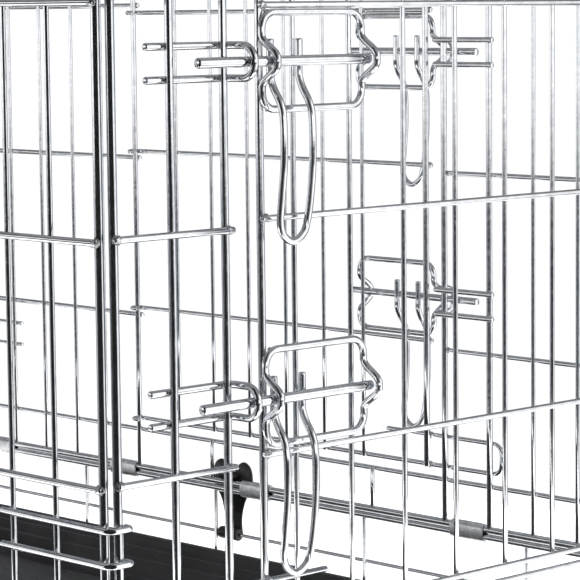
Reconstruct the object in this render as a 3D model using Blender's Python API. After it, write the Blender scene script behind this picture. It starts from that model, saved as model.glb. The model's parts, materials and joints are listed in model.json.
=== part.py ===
"""Folding wire cage for rabbits, with two latched doors and a slide-out tray.

Frame: +Z up, origin on the floor under the middle of the cage. X runs along the long sides,
with the front end (the end panel that has a door) at +X. The plain long side is at -Y and the
long side that has a door is at +Y. All dimensions below are in millimetres.
"""
import math

import bmesh
import bpy
from mathutils import Matrix, Vector

MM = 0.001

# ---- overall size, between the planes of the upright wires
LENGTH = 704.0
WIDTH = 440.0
HALF_L = LENGTH / 2
HALF_W = WIDTH / 2

# ---- wire sections, as square bars of this side
POST = 4.2
STRIP = 3.8
UPRIGHT = 2.6
CROSS = 2.8
ROD = 3.0
LATCH_WIRE_R = 1.75
BOLT_R = 2.4
HOOK_WIRE_R = 1.55
WELD = 0.3
GAP = 0.3
ROOT = 1.0
CROSS_INSET = 2.0
ROD_INSET = 2.6
STRIP_OVERHANG = 3.2
POST_OVERHANG = 1.9

# ---- heights
RAIL_Z = 76.3
ROD_STEP = 4.6
FRONT_LIFT = 12.1
LOWER_WIRE_Z = 45.9
SILL_Z = 106.6
LINTEL_Z = 483.0
SIDE_FIXED_Z = (186.7, 294.9, 398.3)
END_FIXED_Z = (188.2, 296.0, 401.0)
TOP_Z = 507.0
END_TOP_Z = 500.0
DOOR_BOTTOM_Z = 114.5
DOOR_TOP_Z = 475.0
STOP_LOOP_Z = 133.0
HOOK_Z = (154.0, 169.5, 424.5, 440.0)

# ---- upright wires, measured along each panel from its front or near corner
SIDE_FIRST = (4.0, 37.5, 68.5)
SIDE_BAYS = 16
SIDE_LATCH_STRIP = (4.0, 37.5, 70.0, 104.5, 138.5, 173.0, 209.5)
SIDE_HINGE_STRIP = (533.0, 565.0, 600.5, 635.5, 666.5, 700.0)
END_LATCH_STRIP = (38.1, 69.9)
END_HINGE_STRIP = (401.9,)
END_NEAR_POST = 4.6
END_FAR_POST = 431.6
REAR_BAYS = 12

# ---- doors: edge wire, first upright, pitch, number of uprights, hinge post
FRONT_DOOR = {"edge": 91.2, "first": 111.5, "pitch": 36.4, "count": 7, "hinge": 370.1,
              "cross_z": (191.9, 300.1, 396.4)}
SIDE_DOOR = {"edge": 225.2, "first": 245.0, "pitch": 35.2, "count": 7, "hinge": 497.0,
             "cross_z": (191.4, 299.2, 393.4)}
DOOR_OUT = 1.2
DOOR_CROSS_IN = 2.3
LOOP_CLEAR = 2.3
STOP_LOOP_REACH = 60.2
STOP_LOOP_BACK = 36.8

# ---- latches: offsets from the panel plane, and shapes along the panel
BRACKET_OUT = 4.55
BRACKET_WIDTH = 63.5
BRACKET_HALF_H = 21.9
BOLT_OUT = 10.4
BOLT_LENGTH = 107.5
EAR_OUT = BOLT_OUT + BOLT_R + GAP + LATCH_WIRE_R
ARM_OUT = BOLT_OUT - BOLT_R - GAP - LATCH_WIRE_R
HANDLE_TIP = 10.0
HANDLE_DROP = 82.0
KEEPER_IN = STRIP / 2 + GAP + LATCH_WIRE_R
KEEPER_HALF_H = 7.35
KEEPER_LENGTH = 48.4
LEVELS = ("lower", "upper")
FRONT_LATCH = {"ring": 75.5, "tip": 45.0, "bracket": 89.5, "arms": (48.3, 66.3),
               "heights": (218.05, 371.2)}
SIDE_LATCH = {"ring": 215.0, "tip": 192.0, "bracket": 222.7, "arms": (45.0, 63.0),
              "heights": (217.0, 368.0)}

# ---- base, tray and small parts
OUTSIDE = UPRIGHT - WELD
SHY = 0.1
FLOOR_END_Z = 3.3
FLOOR_CROSS_Z = (2.7, 5.5)
FLOOR_RUNNERS_Y = (-189.0, -126.0, -63.0, 0.0, 63.0, 126.0, 189.0)
WALL_WIRES = (143.9, 279.6, 419.5, 556.0)
SLEEVE_LENGTH = 27.0
SLEEVE_INNER_R = 2.4
SLEEVE_WALL = 1.0
NEAR_SLEEVES = (53.0, 194.3, 369.7, 509.7, 651.0)
FAR_SLEEVES = (53.5, 190.0, 379.0, 512.8, 651.0)
FRONT_SLEEVES = (54.0, 386.0)
REAR_SLEEVES = (61.3, 378.7)
TOP_SLEEVES_X = (-330.0, -121.1, 121.1, 330.0)
END_SLEEVE_LENGTH = 24.0
TOP_FIRST = 6.0
TOP_BAYS = 20
TOP_RUNNERS_Y = (-108.0, 0.0, 108.0)
CLIP_X = HALF_L - 408.0
CLIP_BARREL_INNER = 2.2
CLIP_BARREL_OUTER = 4.2
CLIP_HALF = 9.0
BELOW_SIDE_DOOR = (272.0, 346.5, 422.5)
HOOK_REACH = 72.5
TRAY_CLEARANCE = (4.0, 7.0)
TRAY_SIDE = 7.0
TRAY_LIP_DEPTH = 5.0
TRAY_LIP_THICK = 3.4
TRAY_FLOOR_Z = 6.2
TRAY_TOP_Z = 36.4
TRAY_WALL = 4.0
TRAY_FLOOR = 3.0

GALVANISED = (0.72, 0.73, 0.74, 1.0)
BLACK_PLASTIC = (0.018, 0.018, 0.02, 1.0)

for old in list(bpy.data.objects):
    bpy.data.objects.remove(old, do_unlink=True)

parts = bpy.data.collections.new("wire_rabbit_cage")
cutters = bpy.data.collections.new("joined_wires")
bpy.context.scene.collection.children.link(parts)
bpy.context.scene.collection.children.link(cutters)


def new_material(name, color, metallic, roughness):
    material = bpy.data.materials.new(name)
    material.use_nodes = True
    shader = material.node_tree.nodes["Principled BSDF"]
    shader.inputs["Base Color"].default_value = color
    shader.inputs["Metallic"].default_value = metallic
    shader.inputs["Roughness"].default_value = roughness
    return material


zinc = new_material("zinc_wire", GALVANISED, 1.0, 0.25)
sheet = new_material("zinc_sheet", (0.6, 0.61, 0.62, 1.0), 1.0, 0.4)
plastic = new_material("black_plastic", BLACK_PLASTIC, 0.0, 0.5)


# ---- building blocks
def front_place(u, w, z):
    """A point on the front end panel: u along it from the near corner, w outwards."""
    return Vector((HALF_L + w, u - HALF_W, z))


def rear_place(u, w, z):
    return Vector((-HALF_L - w, u - HALF_W, z))


def far_place(u, w, z):
    """A point on the far long side: u along it from the front corner, w outwards."""
    return Vector((HALF_L - u, HALF_W + w, z))


def near_place(u, w, z):
    return Vector((HALF_L - u, -HALF_W - w, z))


def box(place, u, w, z):
    """The two corners of a bar that spans the ranges u, w and z of one panel."""
    a = place(u[0], w[0], z[0])
    b = place(u[1], w[1], z[1])
    low = Vector(min(p, q) for p, q in zip(a, b))
    high = Vector(max(p, q) for p, q in zip(a, b))
    return low, high


def plain_place(x, y, z):
    return Vector((x, y, z))


def around(centre, side):
    return (centre - side / 2, centre + side / 2)


def add_box(mesh, corners):
    low, high = corners
    size = high - low
    matrix = Matrix.Translation((low + high) / 2 * MM) @ Matrix.Diagonal((*(size * MM), 1.0))
    bmesh.ops.create_cube(mesh, size=1.0, matrix=matrix)


def add_prism(mesh, outline, place, span, flat="uw"):
    """A flat outline in the panel's (u, w) or (u, z) plane, run through the third direction."""
    curve = bpy.data.curves.new("outline", "CURVE")
    curve.dimensions = "2D"
    curve.fill_mode = "BOTH"
    curve.extrude = (span[1] - span[0]) / 2 * MM
    spline = curve.splines.new("POLY")
    spline.points.add(len(outline) - 1)
    for point, (a, b) in zip(spline.points, outline):
        point.co = (a * MM, b * MM, 0.0, 1.0)
    spline.use_cyclic_u = True
    holder = bpy.data.objects.new("outline", curve)
    bpy.context.scene.collection.objects.link(holder)
    bpy.context.view_layer.update()
    depsgraph = bpy.context.evaluated_depsgraph_get()
    shape = bpy.data.meshes.new_from_object(holder.evaluated_get(depsgraph))
    bpy.data.objects.remove(holder, do_unlink=True)
    piece = bmesh.new()
    piece.from_mesh(shape)
    bpy.data.meshes.remove(shape)
    bmesh.ops.remove_doubles(piece, verts=piece.verts, dist=1e-6)
    middle = (span[0] + span[1]) / 2
    for vert in piece.verts:
        a, b, c = vert.co / MM
        at = place(a, b, c + middle) if flat == "uw" else place(a, c + middle, b)
        vert.co = at * MM
    bmesh.ops.recalc_face_normals(piece, faces=piece.faces)
    joined = bpy.data.meshes.new("outline")
    piece.to_mesh(joined)
    piece.free()
    mesh.from_mesh(joined)
    bpy.data.meshes.remove(joined)


def mesh_object(name, fill, collection, material):
    """An object whose mesh is filled by a list of functions or boxes."""
    mesh = bmesh.new()
    for item in fill:
        if callable(item):
            item(mesh)
        else:
            add_box(mesh, item)
    data = bpy.data.meshes.new(name)
    mesh.to_mesh(data)
    mesh.free()
    data.materials.append(material)
    part = bpy.data.objects.new(name, data)
    collection.objects.link(part)
    return part


def welded(name, layers, material=zinc, operations=None):
    """Layers of bars that don't touch within a layer, joined into one body."""
    part = mesh_object(name, layers[0], parts, material)
    for number, layer in enumerate(layers[1:], start=1):
        tool = mesh_object(f"{name}_layer_{number}", layer, cutters, material)
        tool.hide_render = True
        tool.display_type = "WIRE"
        weld = part.modifiers.new(f"join_{number}", "BOOLEAN")
        weld.operation = operations[number - 1] if operations else "UNION"
        weld.object = tool
    return part


def rounded(points, radius, steps=3):
    """A line of points with each inner corner turned into an arc."""
    line = [Vector(points[0])]
    for before, corner, after in zip(points, points[1:], points[2:]):
        corner = Vector(corner)
        to_before = (Vector(before) - corner)
        to_after = (Vector(after) - corner)
        reach = min(radius, to_before.length * 0.49, to_after.length * 0.49)
        start = corner + to_before.normalized() * reach
        end = corner + to_after.normalized() * reach
        for step in range(steps + 1):
            t = step / steps
            line.append(start * (1 - t) ** 2 + corner * 2 * t * (1 - t) + end * t ** 2)
    line.append(Vector(points[-1]))
    return line


def tube(name, points, radius, closed=False, material=zinc):
    """A bent wire along points given in millimetres."""
    curve = bpy.data.curves.new(name, "CURVE")
    curve.dimensions = "3D"
    curve.bevel_depth = radius * MM
    curve.bevel_resolution = 1
    curve.use_fill_caps = True
    spline = curve.splines.new("POLY")
    spline.points.add(len(points) - 1)
    for point, at in zip(spline.points, points):
        point.co = (*(Vector(at) * MM), 1.0)
    spline.use_cyclic_u = closed
    curve.materials.append(material)
    wire = bpy.data.objects.new(name, curve)
    parts.objects.link(wire)
    return wire


# ---- panels
def upright(place, u, side, z):
    return box(place, around(u, side), around(0.0, side), z)


def crosswire(place, u, z):
    """A wire across the uprights, on the outside of the panel."""
    inner = UPRIGHT / 2 - WELD
    return box(place, u, (inner, inner + CROSS), around(z, CROSS))


def rod(place, u, z, side=ROD):
    return box(place, u, around(0.0, side), around(z, side))


def spread(first, last, bays):
    return [first + (last - first) * i / bays for i in range(bays + 1)]


def side_rods(place):
    """The rod that turns in the base's sleeves, and the one along the top."""
    span = (ROD_INSET, LENGTH - ROD_INSET)
    return [rod(place, span, RAIL_Z + ROD_STEP), rod(place, span, TOP_Z)]


def side_panel_near():
    places = list(SIDE_FIRST[:2]) + spread(SIDE_FIRST[2], LENGTH - SIDE_FIRST[2], SIDE_BAYS)
    places += [LENGTH - SIDE_FIRST[1], LENGTH - SIDE_FIRST[0]]
    tall = (RAIL_Z + ROD_STEP - ROOT, TOP_Z + ROOT)
    bars = []
    for u in places:
        side = POST if u in (places[0], places[-1]) else UPRIGHT
        bars.append(upright(near_place, u, side, tall))
    across = (CROSS_INSET, LENGTH - CROSS_INSET)
    wires = [crosswire(near_place, across, z) for z in (SILL_Z, *SIDE_FIXED_Z, LINTEL_Z)]
    welded("side_panel_near", [bars, wires + side_rods(near_place)])


def side_panel_far():
    low = RAIL_Z + ROD_STEP - ROOT
    tall = (low, TOP_Z + ROOT)
    posts = (SIDE_LATCH_STRIP[0], SIDE_HINGE_STRIP[-1])
    keeper_uprights = SIDE_LATCH_STRIP[-2:]
    bars = [upright(far_place, SIDE_DOOR["hinge"], ROD, tall)]
    for u in (*SIDE_LATCH_STRIP, *SIDE_HINGE_STRIP):
        side = POST if u in posts else (STRIP if u in keeper_uprights else UPRIGHT)
        bars.append(upright(far_place, u, side, tall))
    for u in BELOW_SIDE_DOOR:
        bars.append(upright(far_place, u, UPRIGHT, (low, SILL_Z + ROOT)))
    across = (CROSS_INSET, LENGTH - CROSS_INSET)
    wires = [crosswire(far_place, across, z) for z in (SILL_Z, LINTEL_Z)]
    for height in SIDE_FIXED_Z:
        wires.append(crosswire(far_place, (across[0], keeper_uprights[-1] + STRIP_OVERHANG), height))
        wires.append(crosswire(far_place, (SIDE_DOOR["hinge"] - ROD_INSET, across[1]), height))
    welded("side_panel_far", [bars, wires + side_rods(far_place)])


def end_rods(place, ends, axle_z):
    span = (ends[0] + WELD, ends[1] - WELD)
    return [rod(place, span, axle_z), rod(place, span, END_TOP_Z, POST - WELD)]


def end_panel_front():
    axle_z = RAIL_Z + FRONT_LIFT + ROD_STEP
    tall = (axle_z - ROOT, END_TOP_Z + ROOT)
    bars = [upright(front_place, u, POST, tall) for u in (END_NEAR_POST, END_FAR_POST)]
    bars += [upright(front_place, u, STRIP, tall) for u in (*END_LATCH_STRIP, *END_HINGE_STRIP)]
    bars.append(upright(front_place, FRONT_DOOR["hinge"], ROD, tall))
    ends = (END_NEAR_POST - POST_OVERHANG, END_FAR_POST + POST_OVERHANG)
    wires = [crosswire(front_place, ends, z) for z in (SILL_Z, LINTEL_Z)]
    for height in END_FIXED_Z:
        wires.append(crosswire(front_place, (ends[0], END_LATCH_STRIP[-1] + STRIP_OVERHANG), height))
        wires.append(crosswire(front_place, (FRONT_DOOR["hinge"] - ROD_INSET, ends[1]), height))
    welded("end_panel_front", [bars, wires + end_rods(front_place, ends, axle_z)])


def end_panel_rear():
    axle_z = RAIL_Z + ROD_STEP
    places = spread(WIDTH - END_FAR_POST, END_FAR_POST, REAR_BAYS)
    bars = []
    for u in places:
        side = POST if u in (places[0], places[-1]) else UPRIGHT
        bars.append(upright(rear_place, u, side, (axle_z - ROOT, END_TOP_Z + ROOT)))
    ends = (places[0] - POST_OVERHANG, places[-1] + POST_OVERHANG)
    wires = [crosswire(rear_place, ends, z) for z in (SILL_Z, *END_FIXED_Z, LINTEL_Z)]
    welded("end_panel_rear", [bars, wires + end_rods(rear_place, ends, axle_z)])


def top_panel():
    edge = HALF_W - ROD_STEP
    first = HALF_L - TOP_FIRST
    deep = (-edge - ROOT, edge + ROOT)
    bars = []
    for x in spread(-first, first, TOP_BAYS):
        bars.append(box(plain_place, around(x, UPRIGHT), deep, around(TOP_Z, UPRIGHT)))
    span = (-first - CROSS_INSET, first + CROSS_INSET)
    wires = [box(plain_place, span, around(y, ROD), around(TOP_Z, ROD)) for y in (-edge, edge)]
    low = TOP_Z + UPRIGHT / 2 - WELD
    for y in TOP_RUNNERS_Y:
        wires.append(box(plain_place, span, around(y, CROSS), (low, low + CROSS)))
    welded("top_panel", [bars, wires])


def door(name, place, sizes):
    """A door whose cross wires loop round the hinge post, with a stop loop over the fixed strip."""
    z = (DOOR_BOTTOM_Z - 0.9, DOOR_TOP_Z + 0.9)
    inner = DOOR_OUT - UPRIGHT / 2
    outer = DOOR_OUT + UPRIGHT / 2
    bars = [box(place, around(sizes["edge"], STRIP), (outer - STRIP, outer), z)]
    for i in range(sizes["count"]):
        u = sizes["first"] + sizes["pitch"] * i
        bars.append(box(place, around(u, UPRIGHT), (inner, outer), z))
    start = sizes["edge"] - STRIP / 2 - 0.4
    hinge = sizes["hinge"]
    out = DOOR_CROSS_IN + CROSS
    hook = [(start, DOOR_CROSS_IN), (start, out), (hinge + out, out), (hinge + out, -out),
            (hinge - 1.5, -out), (hinge - 1.5, -LOOP_CLEAR), (hinge + LOOP_CLEAR, -LOOP_CLEAR),
            (hinge + LOOP_CLEAR, DOOR_CROSS_IN)]
    wires = []
    for height in (DOOR_BOTTOM_Z, *sizes["cross_z"], DOOR_TOP_Z):
        wires.append(lambda mesh, h=height: add_prism(mesh, hook, place, around(h, CROSS)))
    tip = sizes["edge"] - STOP_LOOP_REACH
    back = sizes["edge"] + STOP_LOOP_BACK
    low = DOOR_BOTTOM_Z - 1.3
    high = STOP_LOOP_Z + 1.3
    loop = [(tip, low), (start + 1.4, low), (start + 1.4, low + 2.6), (tip + 2.6, low + 2.6),
            (tip + 2.6, high - 2.6), (back, high - 2.6), (back, high), (tip, high)]
    span = (DOOR_CROSS_IN + 0.1, out - 0.1)
    stop = [lambda mesh: add_prism(mesh, loop, place, span, flat="uz")]
    welded(name, [bars, wires, stop])


# ---- latches
def latch(prefix, place, sizes, height):
    """One slide-bolt latch: bracket, bolt, hairpin handle and keeper."""
    left = sizes["bracket"]
    right = left + BRACKET_WIDTH
    top = height + BRACKET_HALF_H
    bottom = height - BRACKET_HALF_H
    ear = [(11.0, BRACKET_OUT), (7.5, BRACKET_OUT + 2.2), (3.2, EAR_OUT - 1.3), (0.0, EAR_OUT),
           (-3.2, EAR_OUT - 1.3), (-7.5, BRACKET_OUT + 2.2), (-11.0, BRACKET_OUT)]
    turn = 6.0
    corner = [(0.0, turn), (turn * 0.29, turn * 0.29), (turn, 0.0)]
    outline = [(left + a, BRACKET_OUT, top - b) for a, b in corner]
    outline += [(right - a, BRACKET_OUT, top - b) for a, b in reversed(corner)]
    outline += [(right, w, height + z) for z, w in ear]
    outline += [(right - a, BRACKET_OUT, bottom + b) for a, b in corner]
    outline += [(left + a, BRACKET_OUT, bottom + b) for a, b in reversed(corner)]
    outline += [(left, w, height + z) for z, w in reversed(ear)]
    tube(f"{prefix}_bracket", [place(*p) for p in outline], LATCH_WIRE_R, closed=True)

    tip = sizes["tip"]
    ends = [place(tip, BOLT_OUT, height), place(tip + BOLT_LENGTH, BOLT_OUT, height)]
    tube(f"{prefix}_bolt", ends, BOLT_R)

    one, two = (tip + arm for arm in sizes["arms"])
    arm = [(HANDLE_TIP, ARM_OUT), (-7.0, ARM_OUT), (-12.0, ARM_OUT + 1.8), (-20.0, 13.2),
           (-26.0, 14.4), (-45.0, 14.4), (-74.0, 11.2)]
    hairpin = [(one, w, height + z) for z, w in arm]
    hairpin += [(one + 2.4, 10.7, height - HANDLE_DROP + 2.3), (one + 9.0, 10.4, height - HANDLE_DROP),
                (two - 2.4, 10.7, height - HANDLE_DROP + 2.3)]
    hairpin += [(two, w, height + z) for z, w in reversed(arm)]
    tube(f"{prefix}_handle", [place(*p) for p in hairpin], LATCH_WIRE_R)

    ring = sizes["ring"]
    back = ring - KEEPER_LENGTH
    high = height + KEEPER_HALF_H
    low = height - KEEPER_HALF_H
    centre = EAR_OUT - KEEPER_HALF_H
    nose = [(ring, centre + KEEPER_HALF_H * math.sin(a), height + KEEPER_HALF_H * math.cos(a))
            for a in (math.pi * i / 6 for i in range(7))]
    turn_in = [(ring - 3.5, -KEEPER_IN), (ring - 1.0, -KEEPER_IN + 1.0), (ring, -KEEPER_IN + 3.5)]
    keeper = [(back, -KEEPER_IN, high)] + [(u, w, high) for u, w in turn_in] + nose
    keeper += [(u, w, low) for u, w in reversed(turn_in)] + [(back, -KEEPER_IN, low)]
    tube(f"{prefix}_keeper", [place(*p) for p in keeper], LATCH_WIRE_R)


# ---- small wire and sheet parts
def corner_hook(name, place, post, height, mirror):
    """A wire on the outside of a long side whose end curls round the end panel's post.

    post is how far the end post's axis stands in from the plane of the long side.
    """
    out = POST / 2 + GAP + HOOK_WIRE_R

    def at(u, w):
        return place(LENGTH - u if mirror else u, w, height)

    far_side = -(post - POST / 2 - GAP - HOOK_WIRE_R) - 2 * (POST / 2 + GAP + HOOK_WIRE_R)
    corners = [at(HOOK_REACH, out), at(-out - 0.4, out), at(-out - 0.4, far_side), at(0.6, far_side)]
    tube(name, rounded(corners, 4.5, 3), HOOK_WIRE_R)


def stadium(radius, distance, steps=4):
    """Points round two circles a distance apart, first axis at the origin, along the second axis."""
    line = []
    for i in range(steps + 1):
        a = math.pi * i / steps
        line.append((radius * math.cos(a), distance + radius * math.sin(a)))
    for i in range(steps + 1):
        a = math.pi + math.pi * i / steps
        line.append((radius * math.cos(a), radius * math.sin(a)))
    return line


def sleeve(name, centre, along, across, length):
    """A folded sheet sleeve round two rods. centre is on the lower rod, across points to the other."""
    curve = bpy.data.curves.new(name, "CURVE")
    curve.dimensions = "2D"
    curve.fill_mode = "BOTH"
    curve.extrude = length / 2 * MM
    for radius in (SLEEVE_INNER_R + SLEEVE_WALL, SLEEVE_INNER_R):
        spline = curve.splines.new("POLY")
        outline = stadium(radius, ROD_STEP)
        spline.points.add(len(outline) - 1)
        for point, (a, b) in zip(spline.points, outline):
            point.co = (a * MM, b * MM, 0.0, 1.0)
        spline.use_cyclic_u = True
    curve.materials.append(sheet)
    part = bpy.data.objects.new(name, curve)
    side = Vector(across).cross(Vector(along))
    turn = Matrix((side, Vector(across), Vector(along))).transposed().to_4x4()
    part.matrix_world = Matrix.Translation(Vector(centre) * MM) @ turn
    parts.objects.link(part)


def sleeves():
    for i, u in enumerate(NEAR_SLEEVES, start=1):
        sleeve(f"sleeve_near_{i}", near_place(u, 0.0, RAIL_Z), (1, 0, 0), (0, 0, 1), SLEEVE_LENGTH)
    for i, u in enumerate(FAR_SLEEVES, start=1):
        sleeve(f"sleeve_far_{i}", far_place(u, 0.0, RAIL_Z), (1, 0, 0), (0, 0, 1), SLEEVE_LENGTH)
    for i, u in enumerate(FRONT_SLEEVES, start=1):
        at = front_place(u, 0.0, RAIL_Z + FRONT_LIFT)
        sleeve(f"sleeve_front_{i}", at, (0, 1, 0), (0, 0, 1), END_SLEEVE_LENGTH)
    for i, u in enumerate(REAR_SLEEVES, start=1):
        sleeve(f"sleeve_rear_{i}", rear_place(u, 0.0, RAIL_Z), (0, 1, 0), (0, 0, 1), END_SLEEVE_LENGTH)
    for i, x in enumerate(TOP_SLEEVES_X, start=1):
        at = (x, HALF_W - ROD_STEP, TOP_Z)
        sleeve(f"sleeve_top_{i}", at, (1, 0, 0), (0, 1, 0), SLEEVE_LENGTH)


def hooks():
    far_post = WIDTH - END_FAR_POST
    corners = (("front_near", near_place, END_NEAR_POST, False),
               ("front_far", far_place, far_post, False),
               ("rear_near", near_place, far_post, True),
               ("rear_far", far_place, far_post, True))
    for corner, place, post, mirror in corners:
        for i, height in enumerate(HOOK_Z, start=1):
            corner_hook(f"hook_{corner}_{i}", place, post, height, mirror)


# ---- base, tray and clip
def base_uprights():
    """The ends of the side and floor wires, standing up to the rails."""
    top = RAIL_Z + ROOT
    bars = []
    for y in (-HALF_W + ROOT, HALF_W - ROOT):
        tall = (FLOOR_END_Z, RAIL_Z + FRONT_LIFT + ROOT)
        bars.append(box(plain_place, around(HALF_L, ROD), around(y, ROD), tall))
    for y in (-HALF_W, HALF_W):
        bars.append(box(plain_place, around(-HALF_L, ROD), around(y, ROD), (FLOOR_END_Z, top)))
        for u in WALL_WIRES:
            x = HALF_L - u
            bars.append(box(plain_place, around(x, UPRIGHT), around(y, UPRIGHT), (FLOOR_END_Z, top)))
    for y in FLOOR_RUNNERS_Y:
        bars.append(box(plain_place, around(-HALF_L, UPRIGHT), around(y, UPRIGHT), (ROOT, top)))
    return bars


def base_lengthwise():
    bars = []
    rail_x = (-HALF_L - ROOT, HALF_L + ROOT)
    for side in (-1, 1):
        wire_y = side * (HALF_W + OUTSIDE)
        wire_x = (-HALF_L - OUTSIDE, HALF_L + ROOT / 2)
        bars.append(box(plain_place, rail_x, around(side * HALF_W, ROD), around(RAIL_Z, ROD)))
        bars.append(box(plain_place, wire_x, around(wire_y, UPRIGHT), around(LOWER_WIRE_Z, UPRIGHT)))
    for y in FLOOR_RUNNERS_Y:
        bars.append(box(plain_place, (-HALF_L - ROOT / 2, HALF_L), around(y, ROD), (0.0, ROD)))
    return bars


def base_crosswise():
    """The floor's cross wires, the end rails and the rear's lower wire, a little thinner."""
    thin = UPRIGHT - 2 * SHY
    thin_rod = ROD - 2 * SHY
    wide = (-HALF_W - ROOT - SHY, HALF_W + ROOT + SHY)
    front_rail_y = (-HALF_W - WELD, HALF_W + WELD)
    lower_y = (-HALF_W - OUTSIDE, HALF_W + OUTSIDE)
    bars = []
    for x in (HALF_L - ROOT, ROOT - HALF_L, *(HALF_L - u for u in WALL_WIRES)):
        bars.append(box(plain_place, around(x, thin), wide, FLOOR_CROSS_Z))
    front_z = RAIL_Z + FRONT_LIFT
    bars.append(box(plain_place, around(HALF_L, thin_rod), front_rail_y, around(front_z, ROD)))
    bars.append(box(plain_place, around(-HALF_L, thin_rod), wide, around(RAIL_Z + SHY, ROD)))
    low_z = around(LOWER_WIRE_Z + SHY, UPRIGHT)
    bars.append(box(plain_place, around(-HALF_L - OUTSIDE, thin), lower_y, low_z))
    return bars


def base_frame():
    welded("base_frame", [base_uprights(), base_lengthwise(), base_crosswise()])


def tray():
    rim_x, wall_x = (HALF_L - gap for gap in TRAY_CLEARANCE)
    rim_y = HALF_W - TRAY_SIDE
    wall_y = rim_y - TRAY_LIP_DEPTH
    wall = (TRAY_FLOOR_Z, TRAY_TOP_Z - WELD)
    outer = [box(plain_place, (-wall_x, wall_x), (-wall_y, wall_y), wall)]
    lip = (TRAY_TOP_Z - TRAY_LIP_THICK, TRAY_TOP_Z)
    rim = [box(plain_place, (-rim_x, rim_x), (-rim_y, rim_y), lip)]
    in_x = wall_x - TRAY_WALL
    in_y = wall_y - TRAY_WALL
    inside = (TRAY_FLOOR_Z + TRAY_FLOOR, TRAY_TOP_Z + TRAY_WALL)
    hollow = [box(plain_place, (-in_x, in_x), (-in_y, in_y), inside)]
    welded("tray", [outer, rim, hollow], plastic, ["UNION", "DIFFERENCE"])


def clip_place(u, w, z):
    return Vector((CLIP_X + u, w, z))


def barrel_place(u, w, z):
    """u outwards and w up from the base's lower wire, z along it."""
    return Vector((CLIP_X + z, HALF_W + OUTSIDE + u, LOWER_WIRE_Z + w))


def rail_clip():
    """A plastic clip that turns on the base's lower wire and laps over the two rods above it."""
    wire_y = HALF_W + OUTSIDE
    plate_y = (wire_y + CLIP_BARREL_INNER + GAP, wire_y + CLIP_BARREL_OUTER)
    half = [(8.5, LOWER_WIRE_Z), (8.0, 56.0), (12.0, 69.0), (18.5, 79.0), (19.0, 88.0),
            (14.5, 94.5), (8.0, 94.5), (4.0, 88.5)]
    outline = half + [(-u, z) for u, z in reversed(half)]
    start = math.radians(-60)
    steps = 8
    angles = [start + math.radians(275) * i / steps for i in range(steps + 1)]
    ring = [(CLIP_BARREL_OUTER * math.cos(a), CLIP_BARREL_OUTER * math.sin(a)) for a in angles]
    ring += [(CLIP_BARREL_INNER * math.cos(a), CLIP_BARREL_INNER * math.sin(a))
             for a in reversed(angles)]
    plate = [lambda mesh: add_prism(mesh, outline, clip_place, plate_y, "uz")]
    barrel = [lambda mesh: add_prism(mesh, ring, barrel_place, (-CLIP_HALF, CLIP_HALF))]
    lip = [box(clip_place, around(0.0, 14.0), (HALF_W - 1.5, plate_y[0] + 0.5), (83.4, 86.4))]
    welded("rail_clip", [plate, barrel, lip], plastic)


# ---- pivots
def hang(child, parent):
    """Parent a piece that is placed in the cage's frame, so that it stays where it is."""
    child.parent = parent
    child.matrix_parent_inverse = Matrix.Translation(-parent.location)


def pivot(name, at, pieces, above=None):
    """An empty on a joint's axis, which carries the pieces that move about it."""
    empty = bpy.data.objects.new(name, None)
    empty.empty_display_size = 20.0 * MM
    empty.location = Vector(at) * MM
    parts.objects.link(empty)
    if above:
        hang(empty, above)
    for piece in pieces:
        hang(bpy.data.objects[piece], empty)
    return empty


def latch_pivots(door_name, door_pivot, place, sizes):
    """Each bolt slides along its own axis, and its handle turns about the same axis."""
    for level, height in zip(LEVELS, sizes["heights"]):
        prefix = f"{door_name}_{level}"
        at = place(sizes["tip"], BOLT_OUT, height)
        bolt = pivot(f"{prefix}_bolt_pivot", at, [f"{prefix}_bolt"], door_pivot)
        pivot(f"{prefix}_handle_pivot", at, [f"{prefix}_handle"], bolt)


def pivots():
    keepers = [f"front_{level}_keeper" for level in LEVELS]
    front_axle = (HALF_L, 0.0, RAIL_Z + FRONT_LIFT + ROD_STEP)
    front_end = pivot("front_end_pivot", front_axle, ["end_panel_front", *keepers])
    pivot("rear_end_pivot", (-HALF_L, 0.0, RAIL_Z + ROD_STEP), ["end_panel_rear"])
    pivot("top_pivot", (0.0, HALF_W - ROD_STEP, TOP_Z), ["top_panel"])
    pivot("tray_pivot", (0.0, 0.0, TRAY_FLOOR_Z), ["tray"])
    pivot("clip_pivot", barrel_place(0.0, 0.0, 0.0), ["rail_clip"])
    hinges = (("front", front_place, FRONT_DOOR, FRONT_LATCH, front_end),
              ("side", far_place, SIDE_DOOR, SIDE_LATCH, None))
    for name, place, sizes, latch_sizes, above in hinges:
        brackets = [f"{name}_{level}_bracket" for level in LEVELS]
        at = place(sizes["hinge"], 0.0, DOOR_BOTTOM_Z)
        door_pivot = pivot(f"{name}_door_pivot", at, [f"{name}_door", *brackets], above)
        latch_pivots(name, door_pivot, place, latch_sizes)


base_frame()
tray()
side_panel_near()
side_panel_far()
end_panel_front()
end_panel_rear()
top_panel()
door("front_door", front_place, FRONT_DOOR)
door("side_door", far_place, SIDE_DOOR)
for level, front_z, side_z in zip(LEVELS, FRONT_LATCH["heights"], SIDE_LATCH["heights"]):
    latch(f"front_{level}", front_place, FRONT_LATCH, front_z)
    latch(f"side_{level}", far_place, SIDE_LATCH, side_z)
hooks()
sleeves()
rail_clip()
pivots()
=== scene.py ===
"""The looks of the folding wire cage: round welded wires, bent latches, rolled sleeves, black plastic."""
import json
import math

import bmesh
import bpy
from mathutils import Matrix, Vector, noise


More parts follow.
